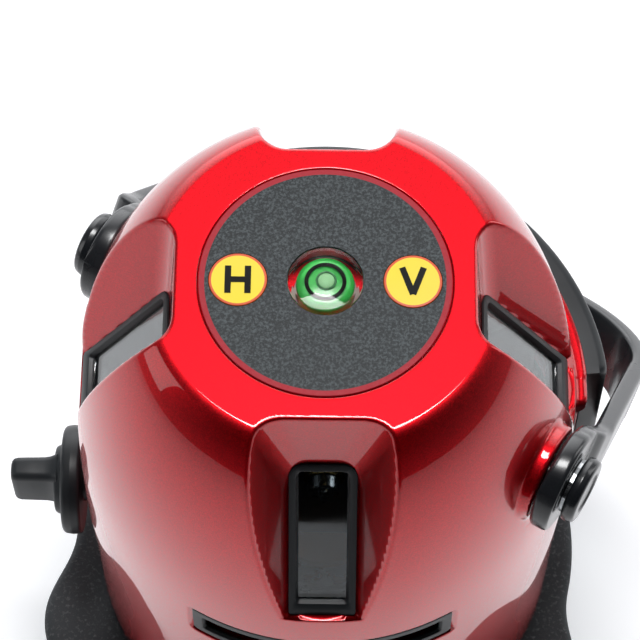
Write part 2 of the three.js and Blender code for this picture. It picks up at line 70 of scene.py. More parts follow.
LOBE_AZIMUTHS = (203.0, 323.0, 83.0)
FOOT = dict(wheel=14.0, wheel_top=-7.5, wheel_bottom=-14.0, pad=9.0, pad_top=-21.6, pad_bottom=-28.0)
MODULE = dict(depth=47.0, start=8.3, radius=5.4, nose=17.3, end=20.8)
WINDOW_AZIMUTHS = dict(front=-90.0, right=0.0, rear=90.0, left=180.0)

COLUMNS = 528  # grid of the housing's outer skin, round the axis
SKIN = 2.6  # thickness of the housing's wall

slot_of = {entry["node"]: entry["material_slot"] for entry in frame["record"]["subparts"]}


# ---------------------------------------------------------------- materials
def new_material(name, **sockets):
    """A Principled material. Underscores in the names of the sockets stand for spaces."""
    made = bpy.data.materials.new(name)
    made.use_nodes = True
    shader = made.node_tree.nodes["Principled BSDF"]
    for key, value in sockets.items():
        shader.inputs[key.replace("_", " ")].default_value = value
    return made, made.node_tree, shader


def texture(tree, kind, scale, stretch=(1, 1, 1), **inputs):
    """A noise or cell texture in the piece's own space. The scale is in cells per metre."""
    place = tree.nodes.new("ShaderNodeTexCoord")
    mapping = tree.nodes.new("ShaderNodeMapping")
    mapping.inputs["Scale"].default_value = stretch
    node = tree.nodes.new({"noise": "ShaderNodeTexNoise", "cells": "ShaderNodeTexVoronoi"}[kind])
    node.inputs["Scale"].default_value = scale
    for key, value in inputs.items():
        node.inputs[key].default_value = value
    tree.links.new(place.outputs["Object"], mapping.inputs["Vector"])
    tree.links.new(mapping.outputs["Vector"], node.inputs["Vector"])
    return node


def spread(tree, source, low, high, start=0.3, end=0.7):
    """A factor mapped to a range of values."""
    node = tree.nodes.new("ShaderNodeMapRange")
    for key, value in (("From Min", start), ("From Max", end), ("To Min", low), ("To Max", high)):
        node.inputs[key].default_value = value
    tree.links.new(source, node.inputs["Value"])
    return node.outputs["Result"]


def between(tree, factor, first, second):
    """A colour that varies between two by a factor. Either colour may be a link."""
    node = tree.nodes.new("ShaderNodeMix")
    node.data_type = "RGBA"
    tree.links.new(factor, node.inputs["Factor"])
    for socket, value in ((node.inputs[6], first), (node.inputs[7], second)):
        if isinstance(value, bpy.types.NodeSocket):
            tree.links.new(value, socket)
        else:
            socket.default_value = (*value, 1)
    return node.outputs[2]


def add_bump(tree, shader, height, strength, distance):
    node = tree.nodes.new("ShaderNodeBump")
    node.inputs["Strength"].default_value = strength
    node.inputs["Distance"].default_value = distance
    tree.links.new(height, node.inputs["Height"])
    tree.links.new(node.outputs["Normal"], shader.inputs["Normal"])


def moulded(name, low, high, rough, grain=2200, bump=0.12, **sockets):
    """Moulded plastic: two near tones, uneven gloss and a fine grain."""
    made, tree, shader = new_material(name, **sockets)
    cloud = texture(tree, "noise", 45, Detail=4)
    fine = texture(tree, "noise", grain, Detail=3)
    tone = spread(tree, cloud.outputs["Fac"], 0, 1)
    tree.links.new(between(tree, tone, low, high), shader.inputs["Base Color"])
    tree.links.new(spread(tree, cloud.outputs["Fac"], rough * 0.82, rough * 1.18), shader.inputs["Roughness"])
    add_bump(tree, shader, fine.outputs["Fac"], bump, 0.00006)
    return made


def machined(name, low, high, rough, stretch=(1, 1, 30)):
    """Turned or brushed metal: fine lines that vary the gloss, with a faint tone change."""
    made, tree, shader = new_material(name, Metallic=1.0)
    lines = texture(tree, "noise", 220, stretch=stretch, Detail=5)
    cloud = texture(tree, "noise", 60, Detail=3)
    tone = spread(tree, cloud.outputs["Fac"], 0, 1)
    tree.links.new(between(tree, tone, low, high), shader.inputs["Base Color"])
    tree.links.new(spread(tree, lines.outputs["Fac"], rough * 0.7, rough * 1.4), shader.inputs["Roughness"])
    add_bump(tree, shader, lines.outputs["Fac"], 0.08, 0.00004)
    return made


def candy_red():
    """Red lacquer with fine metal flake under a clear coat."""
    made, tree, shader = new_material(
        "candy_red", Metallic=0.9, Coat_Weight=1.0, Coat_Roughness=0.03)
    flake = texture(tree, "cells", 4200)
    tone = spread(tree, flake.outputs["Color"], 0, 1, 0.0, 1.0)
    red = between(tree, tone, (0.30, 0.0004, 0.004), (0.62, 0.0008, 0.007))
    tree.links.new(red, shader.inputs["Base Color"])
    tree.links.new(spread(tree, flake.outputs["Color"], 0.36, 0.48, 0.0, 1.0), shader.inputs["Roughness"])
    add_bump(tree, shader, flake.outputs["Color"], 0.10, 0.00005)
    return made


def keypad_film():
    """Grained dark film with a red border line."""
    made, tree, shader = new_material("keypad_film", Specular_IOR_Level=0.3)
    grain = texture(tree, "noise", 1500, Detail=6, Roughness=0.75)
    place = tree.nodes.new("ShaderNodeTexCoord")
    flat = tree.nodes.new("ShaderNodeVectorMath")
    flat.operation = "MULTIPLY"
    flat.inputs[1].default_value = (1, 1, 0)
    far = tree.nodes.new("ShaderNodeVectorMath")
    far.operation = "LENGTH"
    tree.links.new(place.outputs["Object"], flat.inputs[0])
    tree.links.new(flat.outputs["Vector"], far.inputs[0])
    border = spread(tree, far.outputs["Value"], 0, 1, 0.02845, 0.02855)
    dark = between(tree, spread(tree, grain.outputs["Fac"], 0, 1, 0.46, 0.60), (0.004, 0.007, 0.009),
                   (0.075, 0.088, 0.094))
    tree.links.new(between(tree, border, dark, (0.36, 0.006, 0.018)), shader.inputs["Base Color"])
    tree.links.new(spread(tree, grain.outputs["Fac"], 0.42, 0.68), shader.inputs["Roughness"])
    add_bump(tree, shader, grain.outputs["Fac"], 0.45, 0.00012)
    return made


def speckled_grey():
    """Coarse dark grey moulding with light and dark specks."""
    made, tree, shader = new_material("base_grey", Specular_IOR_Level=0.35)
    speck = texture(tree, "noise", 900, Detail=6, Roughness=0.7)
    cloud = texture(tree, "noise", 30, Detail=3)
    patches = spread(tree, cloud.outputs["Fac"], 0, 1)
    deep = between(tree, patches, (0.020, 0.023, 0.026), (0.040, 0.044, 0.048))
    tone = spread(tree, speck.outputs["Fac"], 0, 1, 0.52, 0.72)
    tree.links.new(between(tree, tone, deep, (0.12, 0.125, 0.13)), shader.inputs["Base Color"])
    tree.links.new(spread(tree, speck.outputs["Fac"], 0.62, 0.85), shader.inputs["Roughness"])
    add_bump(tree, shader, speck.outputs["Fac"], 0.4, 0.00025)
    return made


def clear(name, color, ior=1.5, rough=0.02, **sockets):
    """Clear glass or acrylic with faint uneven gloss."""
    made, tree, shader = new_material(
        name, Base_Color=(*color, 1), IOR=ior, Transmission_Weight=1.0, **sockets)
    smear = texture(tree, "noise", 70, Detail=4)
    tree.links.new(spread(tree, smear.outputs["Fac"], rough * 0.5, rough * 1.8), shader.inputs["Roughness"])
    return made


def circuit_board():
    """Green board with paler copper runs under the mask."""
    made, tree, shader = new_material("circuit_board", Coat_Weight=0.4, Roughness=0.4)
    runs = texture(tree, "cells", 520)
    tone = spread(tree, runs.outputs["Distance"], 0, 1, 0.12, 0.2)
    tree.links.new(between(tree, tone, (0.10, 0.33, 0.13), (0.012, 0.10, 0.035)), shader.inputs["Base Color"])
    add_bump(tree, shader, runs.outputs["Distance"], 0.2, 0.00004)
    return made


CANDY = candy_red()
SATIN = moulded("satin_black", (0.010, 0.012, 0.014), (0.020, 0.023, 0.026), 0.40, Specular_IOR_Level=0.32)
GLOSS = moulded("gloss_black", (0.008, 0.009, 0.011), (0.014, 0.016, 0.019), 0.27, grain=900, bump=0.03,
                Coat_Weight=0.25, Coat_Roughness=0.12)
LINER = moulded("housing_inside", (0.010, 0.010, 0.011), (0.020, 0.018, 0.018), 0.6)
YELLOW = moulded("key_yellow", (0.80, 0.60, 0.006), (0.84, 0.66, 0.012), 0.5, bump=0.08)
OUTLINE = moulded("key_outline", (0.60, 0.06, 0.008), (0.68, 0.09, 0.01), 0.5)
INK = moulded("letter_ink", (0.003, 0.003, 0.003), (0.006, 0.006, 0.005), 0.6, Specular_IOR_Level=0.15)
FILM = keypad_film()
GREY = speckled_grey()
RUBBER = moulded("rubber", (0.014, 0.014, 0.014), (0.028, 0.028, 0.027), 0.82, grain=1200, bump=0.35)
WHITE = moulded("white_plastic", (0.74, 0.74, 0.71), (0.84, 0.84, 0.82), 0.45)
BOARD = circuit_board()
SLEEVE = moulded("cell_sleeve", (0.022, 0.06, 0.17), (0.035, 0.085, 0.21), 0.28, Coat_Weight=0.5)
STEEL = machined("steel", (0.52, 0.54, 0.56), (0.66, 0.68, 0.70), 0.28)
ALUMINIUM = machined("aluminium", (0.42, 0.43, 0.44), (0.56, 0.57, 0.58), 0.38)
BRASS = machined("brass", (0.62, 0.42, 0.13), (0.80, 0.58, 0.22), 0.26)
COPPER = machined("copper", (0.60, 0.27, 0.13), (0.74, 0.36, 0.19), 0.34)
PANE = clear("window_glass", (0.80, 0.86, 0.89), Coat_Weight=0.5, Coat_Roughness=0.02)
ACRYLIC = clear("vial_acrylic", (0.97, 1.0, 0.97), ior=1.3)
LIQUID = moulded("vial_liquid", (0.05, 0.66, 0.10), (0.09, 0.74, 0.14), 0.25, Coat_Weight=0.4)
# painted light: the air bubble gets a paler green than the liquid round it, standing in for the light that
# shows through it
BUBBLE_PAINTED_LIGHT = moulded("vial_bubble_painted_light", (0.42, 0.86, 0.42), (0.52, 0.92, 0.50), 0.2)
# painted shade: a dark green ring round the bubble stands in for the shade that bending light makes at its
# rim
BUBBLE_RIM_PAINTED_SHADE = moulded("bubble_rim_painted_shade", (0.02, 0.20, 0.05), (0.03, 0.26, 0.07), 0.3)

BY_SLOT = dict(
    candy_red=CANDY, satin_black=SATIN, gloss_black=GLOSS, window_glass=PANE, keypad_sheet=FILM,
    key_yellow=YELLOW, vial_green=ACRYLIC, white_plastic=WHITE, circuit_board=BOARD, cell_sleeve=SLEEVE,
    steel=STEEL, aluminium=ALUMINIUM, brass=BRASS, copper=COPPER, base_grey=GREY, rubber=RUBBER)
for node_name, node in frame["nodes"].items():
    node.material_slots[0].material = BY_SLOT[slot_of[node_name]]


# ---------------------------------------------------------------- mesh building
def add_piece(name, shape, materials, body, stands_for=(), sharp=40, normals=None, picks=None):
    """Makes a piece from (points in millimetres, faces), gives it its materials, rides it on its body and
    hides the frame parts it stands for.
    """
    points, faces = shape
    mesh = bpy.data.meshes.new(name)
    mesh.from_pydata((np.asarray(points) * MM).tolist(), [], faces)
    for each in materials if isinstance(materials, list) else [materials]:
        mesh.materials.append(each)
    mesh.polygons.foreach_set("use_smooth", [True] * len(mesh.polygons))
    if picks is not None:
        mesh.polygons.foreach_set("material_index", picks)
    mesh.update()
    if normals is not None:
        mesh.normals_split_custom_set_from_vertices(normals)
    else:
        mesh.set_sharp_from_angle(angle=math.radians(sharp))
    made = bpy.data.objects.new(name, mesh)
    bpy.context.scene.collection.objects.link(made)
    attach(made, body)
    if stands_for:
        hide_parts(*stands_for)
    return made


def merged(*shapes):
    """Several (points, faces) shapes as one."""
    points, faces, count = [], [], 0
    for part_points, part_faces in shapes:
        points.append(part_points)
        faces += [tuple(i + count for i in face) for face in part_faces]
        count += len(part_points)
    return np.concatenate(points), faces


def fillet(corners, closed=False, steps=5):
    """A line through corners of (x, y, radius), each rounded to its radius."""
    line = []
    count = len(corners)
    for i, (x, y, radius) in enumerate(corners):
        here = np.array([x, y], float)
        if radius <= 0 or (not closed and i in (0, count - 1)):
            line.append(here)
            continue
        before = np.array(corners[i - 1][:2], float) - here
        after = np.array(corners[(i + 1) % count][:2], float) - here
        before /= np.linalg.norm(before)
        after /= np.linalg.norm(after)
        half = math.acos(max(-1.0, min(1.0, before @ after))) / 2
        middle = here + (before + after) / np.linalg.norm(before + after) * radius / math.sin(half)
        start = here + before * radius / math.tan(half) - middle
        end = here + after * radius / math.tan(half) - middle
        first = math.atan2(start[1], start[0])
        sweep = (math.atan2(end[1], end[0]) - first + math.pi) % (2 * math.pi) - math.pi
        for k in range(steps + 1):
            angle = first + sweep * k / steps
            line.append(middle + radius * np.array([math.cos(angle), math.sin(angle)]))
    return np.array(line)


def lathe(profile, segments=96):
    """The loops of a turned shape about Z, one for each (radius, height)."""
    turn = np.linspace(0, 2 * math.pi, segments, endpoint=False)
    return [np.stack([r * np.cos(turn), r * np.sin(turn), np.full(segments, z)], 1) for r, z in profile]


def loft(loops, ends="caps"):
    """A surface over loops of equal length: closed by caps, joined back to the first as a ring, or open."""
    n = len(loops[0])
    joined = list(zip(range(len(loops) - 1), range(1, len(loops))))
    if ends == "ring":
        joined.append((len(loops) - 1, 0))
    faces = [(a * n + i, a * n + (i + 1) % n, b * n + (i + 1) % n, b * n + i)
             for a, b in joined for i in range(n)]
    if ends == "caps":
        faces.append(tuple(reversed(range(n))))
        faces.append(tuple(range((len(loops) - 1) * n, len(loops) * n)))
    return np.concatenate(loops), faces


def turned(corners, segments=96, steps=5):
    """A turned solid from (radius, height, fillet) corners, bottom first."""
    return loft(lathe(fillet(corners, steps=steps), segments))


def moved(shape, x=0.0, y=0.0, z=0.0):
    return shape[0] + np.array([x, y, z]), shape[1]


def pointing(shape, azimuth, height):
    """A shape built about Z, laid down so that its Z points out at an azimuth and its Y points up."""
    a = math.radians(azimuth)
    across, out = np.array([-math.sin(a), math.cos(a), 0]), np.array([math.cos(a), math.sin(a), 0])
    up = np.array([0, 0, 1])
    points, faces = shape
    laid = points[:, :1] * across + points[:, 1:2] * up + points[:, 2:] * out
    return laid + np.array([0, 0, height]), faces


def rounded_rect(half_x, low, high, radius_high, radius_low, level, steps=6, along=1):
    """A loop of a rectangle with round corners at one level, with extra points along its long edges."""
    corners = fillet([(half_x, low, radius_low), (half_x, high, radius_high), (-half_x, high, radius_high),
                      (-half_x, low, radius_low)], closed=True, steps=steps)
    line = []
    for i, point in enumerate(corners):
        line.append(point)
        following = corners[(i + 1) % len(corners)]
        if (i + 1) % (steps + 1) == 0:
            line += [point + (following - point) * k / along for k in range(1, along)]
    line = np.array(line)
    return np.column_stack([line, np.full(len(line), level)])


# ---------------------------------------------------------------- housing
def smooth_max(a, b, width):
    """The larger of two distances, with the edge between them rounded over a width."""
    near = np.maximum(width - np.abs(a - b), 0) / width
    return np.maximum(a, b) + near * near * width / 4


def turn_from(x, y, azimuth):
    """How far a point lies from an azimuth, in radians either way."""
    a = math.radians(azimuth)
    return np.abs(np.arctan2(y * math.cos(a) - x * math.sin(a), x * math.cos(a) + y * math.sin(a)))


def window_space(x, y, z):
    """A point's side, up and out from the nearest window's frame."""
    radial, side = np.maximum(np.abs(x), np.abs(y)), np.minimum(np.abs(x), np.abs(y))
    reach, rise = radial - WINDOW["radius"], z - (TOP - WINDOW["depth"])
    out = reach * math.cos(WINDOW["slope"]) + rise * math.sin(WINDOW["slope"])
    up = -reach * math.sin(WINDOW["slope"]) + rise * math.cos(WINDOW["slope"])
    return radial, side, up, out


def pocket_distance(x, y, z):
    """Distance to the four window pockets, less than zero inside them."""
    radial, side, up, out = window_space(x, y, z)
    wall_side = (side - WINDOW["half_width"] - WINDOW["draft"] * out) / math.hypot(1, WINDOW["draft"])
    lean = (WINDOW["radius"] - WINDOW["plate_flat"]) / WINDOW["depth"]
    wall_top = (WINDOW["plate_flat"] + lean * (TOP - z) - radial) / math.hypot(1, lean)
    floor = -WINDOW["bed"] - out
    end = -WINDOW["length"] - up
    return smooth_max(smooth_max(wall_side, wall_top, 4.5), smooth_max(floor, end, 0.4), 0.4)


def housing_distance(p):
    """Distance to the housing's outer surface, less than zero inside it."""
    x, y, z = p[:, 0], p[:, 1], p[:, 2]
    rho, depth = np.hypot(x, y), TOP - z
    span = DOME["widest"] - DOME["plate"]
    outward = np.maximum(rho - DOME["plate"], 1e-3) / span
    upward = np.maximum(DOME["widest_depth"] - depth, 0) / DOME["widest_depth"]
    p_out, p_up = DOME["out_power"], DOME["up_power"]
    slope = np.hypot(p_out * outward ** (p_out - 1) / span,
                     p_up * upward ** (p_up - 1) / DOME["widest_depth"])
    upper = (outward ** p_out + upward ** p_up - 1) / slope
    fade = np.clip((depth - DOME["widest_depth"]) / (DOME["skirt_depth"] - DOME["widest_depth"]), 0, 1)
    lower = rho - DOME["widest"] + (DOME["widest"] - DOME["skirt"]) * fade * fade * (3 - 2 * fade)
    body = smooth_max(np.where(depth < DOME["widest_depth"], upper, lower), -depth, 1.1)
    for raised in (LEDGE, LAND):
        middle = (raised["top_depth"] + raised["bottom_depth"]) / 2
        ends = rho * (turn_from(x, y, BAY["azimuth"]) - math.radians(raised["half_angle"]))
        band = np.abs(depth - middle) - (raised["bottom_depth"] - raised["top_depth"]) / 2
        ledge = smooth_max(band, smooth_max(rho - raised["radius"], ends, 2.0), 1.4)
        body = -smooth_max(-body, -ledge, 1.0)
    body = smooth_max(body, -pocket_distance(x, y, z), 0.9)
    body = smooth_max(body, -DOME["knob_flat"] - x, 1.0)
    a = math.radians(PIVOT["azimuth"])
    reach, across = x * math.cos(a) + y * math.sin(a), y * math.cos(a) - x * math.sin(a)
    from_pivot = np.hypot(across, z - PIVOT["height"])
    boss = smooth_max(smooth_max(from_pivot - PIVOT["boss"], reach - PIVOT["right"], 1.2), -reach, 1.0)
    body = -smooth_max(-body, -boss, 1.2)
    floor = np.where(reach > 0, PIVOT["right"], PIVOT["left"])
    seat = smooth_max(from_pivot - PIVOT["seat_radius"], floor - np.abs(reach), 0.8)
    body = smooth_max(body, -seat, 1.2)
    slot_turn = rho * (turn_from(x, y, -90) - math.radians(SLOT["half_angle"]))
    slot = smooth_max(smooth_max(slot_turn, np.abs(depth - SLOT["depth"]) - SLOT["half_height"], 2.0),
                      SLOT["bed"] - rho, 0.3)
    body = smooth_max(body, -slot, 0.7)
    recess = np.maximum(rho - KEYPAD["radius"] - 0.25, depth - KEYPAD["recess"])
    return smooth_max(body, -recess, 0.45)


def profile_rows():
    """The housing's nominal section as (radius, depth) points, close together where there is detail."""
    plate = [28.9, 29.6, 29.95, 30.1, 30.22, 30.36, 30.6, 31.2, 32.2, 33.2, 34.2]
    plate += list(np.linspace(34.8, DOME["plate"] - 0.25, 15))
    rows = [(r, 0.0) for r in plate]
    depths = [0, 0.06, 0.15, 0.28, 0.42] + list(np.arange(0.6, 67.4, 0.62))
    depths += [68, 69, 70, 71, 71.6, 72, 72.4, 73.2, 75, 77, 79, 81, 83, 84.8]
    depths += [85.6, 86, 86.4, 87, 88, 90, 93] + list(np.arange(96, 158, 3.0)) + [105.0, 157.0, 157.6, 158.0]
    for depth in sorted(set(depths)):
        if depth < DOME["widest_depth"]:
            share = 1 - (1 - depth / DOME["widest_depth"]) ** DOME["up_power"]
            span = DOME["widest"] - DOME["plate"]
            rows.append((DOME["plate"] + span * share ** (1 / DOME["out_power"]), depth))
        else:
            rows.append((DOME["skirt"], depth))
    return rows


def project_skin(rows, columns, inset):
    """Points where rays from the axis meet the surface, and the rays' directions."""
    turn = np.linspace(0, 2 * math.pi, columns, endpoint=False)
    radius, depth = (np.array(v)[:, None] for v in zip(*rows))
    origin = np.maximum(depth, DOME["widest_depth"] + 2.0)
    fall = np.broadcast_to(origin - depth, (len(rows), columns))
    rays = np.stack([radius * np.cos(turn), radius * np.sin(turn), fall], 2)
    length = np.linalg.norm(rays, axis=2, keepdims=True)
    rays = (rays / length).reshape(-1, 3)
    start = np.zeros((len(rows), columns, 3))
    start[:, :, 2] = TOP - origin
    start = start.reshape(-1, 3)
    far = length.reshape(-1, 1).copy() + 5.0
    for _ in range(110):
        far -= 0.8 * (housing_distance(start + rays * far) + inset)[:, None]
    return start + rays * far, rays


def surface_normals(points, step=0.02):
    """Unit normals of the housing's surface, from its distance."""
    slopes = []
    for axis in np.eye(3):
        slopes.append(housing_distance(points + axis * step) - housing_distance(points - axis * step))
    normals = np.stack(slopes, 1)
    return normals / np.linalg.norm(normals, axis=1, keepdims=True)


def in_opening(points):
    """Which points lie in the housing's openings: windows, slot, battery bay and knob."""
    x, y, z = points.T
    depth = TOP - z
    _, side, up, out = window_space(x, y, z)
    windows = (side < 7.5) & (up < -2.0) & (up > -44.8) & (out < 0.5)
    slot = (turn_from(x, y, -90) < math.radians(28)) & (np.abs(depth - SLOT["depth"]) < 4.6)
    bay = (turn_from(x, y, BAY["azimuth"]) < math.radians(OPENING["half_angle"])) & (
        depth > OPENING["top_depth"]) & (depth < OPENING["bottom_depth"])
    knob = (x < -60) & (np.hypot(y, z - KNOB["height"]) < 6.4)
    return windows | slot | bay | knob


def grid_faces(points, rows, columns):
    """Quads of a grid that closes round the axis, without those in the openings."""
    index = np.arange(rows * columns).reshape(rows, columns)
    following = np.roll(index, -1, axis=1)
    quads = np.stack([index[:-1], index[1:], following[1:], following[:-1]], 2).reshape(-1, 4)
    return quads[~in_opening(points[quads].mean(axis=1))]


def open_edges(quads):
    """The directed edges that only one quad has."""
    edges = np.concatenate([quads[:, [i, (i + 1) % 4]] for i in range(4)])
    seen = set(map(tuple, edges.tolist()))
    return [(a, b) for a, b in seen if (b, a) not in seen]


def build_housing():
    """The lacquered skin, the wall's thickness round its openings and the dark lining."""
    rows = profile_rows()
    points, rays = project_skin(rows, COLUMNS, 0.0)
    quads = grid_faces(points, len(rows), COLUMNS)
    normals = surface_normals(points)
    # The wall's thickness shows at each opening and at the rim.
    rim = open_edges(quads)
    edge_points = sorted({i for edge in rim for i in edge})
    inner_of = {p: len(points) + k for k, p in enumerate(edge_points)}
    inner = points[edge_points] - rays[edge_points] * SKIN
    walls = [(b, a, inner_of[a], inner_of[b]) for a, b in rim]
    all_points = np.concatenate([points, inner])
    wall_normals = rays[edge_points] * -1
    coarse_rows = rows[4::3] + [rows[-1]]
    lining, _ = project_skin(coarse_rows, COLUMNS // 3, SKIN)
    lining_quads = grid_faces(lining, len(coarse_rows), COLUMNS // 3)[:, ::-1] + len(all_points)
    faces = [tuple(q) for q in quads.tolist()] + walls + [tuple(q) for q in lining_quads.tolist()]
    picks = [0] * len(quads) + [0] * len(walls) + [1] * len(lining_quads)
    lining_normals = -surface_normals(lining)
    return add_piece(
        "housing_shell", (np.concatenate([all_points, lining]), faces), [CANDY, LINER], "head", ("housing",),
        normals=np.concatenate([normals, wall_normals, lining_normals]).tolist(), picks=picks)


build_housing()


# ---------------------------------------------------------------- windows
def on_window(shape, azimuth):
    """A shape in a window frame's side, up and out directions, put at that window."""
    a = math.radians(azimuth)
    radial = np.array([math.cos(a), math.sin(a), 0])
    side = np.array([-math.sin(a), math.cos(a), 0])
    up = -math.sin(WINDOW["slope"]) * radial + math.cos(WINDOW["slope"]) * np.array([0, 0, 1])
    out = math.cos(WINDOW["slope"]) * radial + math.sin(WINDOW["slope"]) * np.array([0, 0, 1])
    p = shape[0]
    centre = radial * WINDOW["radius"] + np.array([0, 0, TOP - WINDOW["depth"]])
    return p[:, :1] * side + p[:, 1:2] * up + p[:, 2:] * out + centre, shape[1]


def window_frame():
    """A bezel with soft edges, a sloped inner step and a plug behind it."""
    low = -WINDOW["length"]
    levels = [
        (7.7, low + 1.7, -2.0, 2.6, 0.6, -3.2), (7.7, low + 1.7, -2.0, 2.6, 0.6, -0.5),
        (8.22, low + 0.38, -1.27, 3.3, 0.9, -0.46), (8.22, low + 0.38, -1.27, 3.3, 0.9, 0.02),
        (8.12, low + 0.48, -1.37, 3.2, 0.9, 0.22), (7.86, low + 0.74, -1.63, 3.0, 0.8, 0.3),
        (6.72, low + 3.62, -2.86, 2.1, 1.2, 0.3), (6.5, low + 3.84, -3.04, 1.9, 1.0, 0.2),
        (6.05, low + 4.2, -3.3, 1.5, 0.8, -0.5), (5.82, low + 4.38, -3.4, 1.3, 0.7, -0.92),
        (5.82, low + 4.38, -3.4, 1.3, 0.7, -1.14), (6.6, low + 3.6, -2.6, 0.8, 0.4, -1.14),
        (6.6, low + 3.6, -2.6, 0.8, 0.4, -3.2)]
    return loft([rounded_rect(*level) for level in levels], ends="ring")


for side_name, side_azimuth in WINDOW_AZIMUTHS.items():
    add_piece(side_name + "_window_bezel", on_window(window_frame(), side_azimuth), SATIN, "head",
              (side_name + "_window_frame",), sharp=28)


def slot_frame():
    """The level line's long window frame, bent round the housing."""
    radius = 63.8
    half = radius * math.radians(SLOT["half_angle"] - 0.5)
    inner = radius * math.radians(SLOT["half_angle"] - 3.4)
    tall = SLOT["half_height"] - 0.4
    levels = [
        (half, -tall, tall, 1.6, 1.6, -0.55), (half, -tall, tall, 1.6, 1.6, 0.3),
        (half - 0.15, 0.15 - tall, tall - 0.15, 1.5, 1.5, 0.52),
        (half - 0.45, 0.45 - tall, tall - 0.45, 1.3, 1.3, 0.6),
        (inner + 0.7, -4.1, 4.1, 1.4, 1.4, 0.6), (inner + 0.45, -3.85, 3.85, 1.2, 1.2, 0.5),
        (inner, -3.4, 3.4, 0.9, 0.9, -0.2), (inner, -3.4, 3.4, 0.9, 0.9, -0.55)]
    points, faces = loft([rounded_rect(*level, along=48) for level in levels], ends="ring")
    angle = points[:, 0] / radius - math.pi / 2
    r = radius + points[:, 2]
    z = TOP - SLOT["depth"] + points[:, 1]
    return np.column_stack([r * np.cos(angle), r * np.sin(angle), z]), faces


add_piece("slot_window_bezel", slot_frame(), SATIN, "head", ("slot_window_frame",), sharp=28)


# ---------------------------------------------------------------- keypad, keys and bubble vial
def sheet_with_holes():
    """The keypad film: a thin disc with holes for the vial and both keys, and a softened rim."""
    high = TOP - 0.2
    bm = bmesh.new()
    circles = [(0, KEYPAD["radius"] - 0.12, 160), (0, VIAL["radius"] + 0.12, 96)]
    circles += [(side * KEYPAD["key_distance"], KEYPAD["key_radius"] + 0.16, 80) for side in (-1, 1)]
    rings = []
    for x, radius, count in circles:
        turns = [2 * math.pi * k / count for k in range(count)]
        ring = [bm.verts.new((x + radius * math.cos(turn), radius * math.sin(turn), high)) for turn in turns]
        rings.append(ring)
        for k in range(count):
            bm.edges.new((ring[k], ring[(k + 1) % count]))
    bmesh.ops.triangle_fill(bm, use_beauty=True, use_dissolve=False, edges=bm.edges[:], normal=(0, 0, 1))
    for i, ring in enumerate(rings):
        x = circles[i][0]
        grow = 0.12 if i == 0 else -0.1
        previous = ring
        radius = circles[i][1] + grow
        for z in (high - 0.12, high - KEYPAD["thickness"]):
            lower = []
            for vert in ring:
                turn = math.atan2(vert.co.y, vert.co.x - x)
                lower.append(bm.verts.new((x + radius * math.cos(turn), radius * math.sin(turn), z)))
            for k in range(len(ring)):
                following = (k + 1) % len(ring)
                bm.faces.new((previous[k], previous[following], lower[following], lower[k]))
            previous = lower
    bmesh.ops.recalc_face_normals(bm, faces=bm.faces[:])
    bm.verts.ensure_lookup_table()
    bm.verts.index_update()
    points = np.array([v.co[:] for v in bm.verts])
    faces = [tuple(v.index for v in f.verts) for f in bm.faces]
    top = next(f for f in bm.faces if len(f.verts) == 3)
    if top.normal.z < 0:
        faces = [face[::-1] for face in faces]
    bm.free()
    return points, faces


add_piece("keypad_film", sheet_with_holes(), FILM, "head", ("keypad_sheet",), sharp=30)


def bar(start, end, width, low, high):
    """A flat bar between two points, with square ends."""
    start, end = np.array(start, float), np.array(end, float)
    along = (end - start) / np.linalg.norm(end - start)
    side = np.array([-along[1], along[0]]) * width / 2
    outline = [start - side, end - side, end + side, start + side]
    return loft([np.array([[*p, z] for p in outline]) for z in (low, high)])


def letter(strokes, width):
    """A plain function letter from straight bars, just proud of the key."""
    return merged(*[bar(a, b, width, TOP - 0.12, TOP - 0.02 + 0.002 * i) for i, (a, b) in enumerate(strokes)])


TALL, WIDE, STROKE = 3.6, 2.35, 1.5  # half height, half width and stroke of the letters
LETTERS = dict(
    h=[((-WIDE, -TALL), (-WIDE, TALL)), ((WIDE, -TALL), (WIDE, TALL)), ((-WIDE, 0), (WIDE, 0))],
    v=[((0, -TALL + 0.2), (-WIDE - 0.2, TALL)), ((0, -TALL + 0.2), (WIDE + 0.2, TALL))])
for key, side in (("h", -1), ("v", 1)):
    r = KEYPAD["key_radius"]
    x = side * KEYPAD["key_distance"]
    profile = fillet([(0.02, TOP - 5, 0), (1.8, TOP - 5, 0.3), (1.8, TOP - 2.6, 0), (r, TOP - 2.6, 0.2),
                      (r, TOP - 0.12, 0.22), (r - 0.62, TOP - 0.1, 0), (r - 0.64, TOP - 0.1, 0),
                      (0.02, TOP - 0.1, 0)])
    points, faces = loft(lathe(profile, 80))
    centres = [np.mean(points[list(face)], axis=0) for face in faces]
    picks = [1 if c[2] > TOP - 0.5 and math.hypot(c[0], c[1]) > r - 0.63 else 0 for c in centres]
    add_piece(key + "_key_cap", moved((points, faces), x=x), [YELLOW, OUTLINE], key + "_key", (key + "_key",),
              picks=picks, sharp=30)
    add_piece(key + "_key_letter", moved(letter(LETTERS[key], STROKE), x=x), INK, key + "_key",
              sharp=30)

BUBBLE_SPOT = dict(x=0.2, y=0.3)  # where the bubble rests in the vial
bottom = TOP - 0.1 - VIAL["height"]
add_piece(
    "vial_body",
    turned([(0.02, bottom, 0), (VIAL["radius"], bottom, 0.5), (VIAL["radius"], TOP - 0.4, 0.5),
            (VIAL["radius"] - 1.2, TOP + 0.05, 0.6), (4, TOP + 0.35, 3), (0.02, TOP + 0.4, 0)]),
    ACRYLIC, "head", ("bubble_vial",), sharp=50)
add_piece(
    "vial_liquid",
    turned([(0.02, bottom + 1.4, 0), (6.6, bottom + 1.4, 1.2), (6.9, TOP - 3.0, 1.2), (5.8, TOP - 1.8, 1.8),
            (0.02, TOP - 1.4, 0)]),
    LIQUID, "head", sharp=60)
add_piece(
    "vial_seat",
    loft(lathe([(7.3, bottom + 0.6), (8.7, bottom + 0.6), (8.7, bottom + 1.2), (7.3, bottom + 1.2)], 96),
         ends="ring"),
    CANDY, "head", sharp=30)
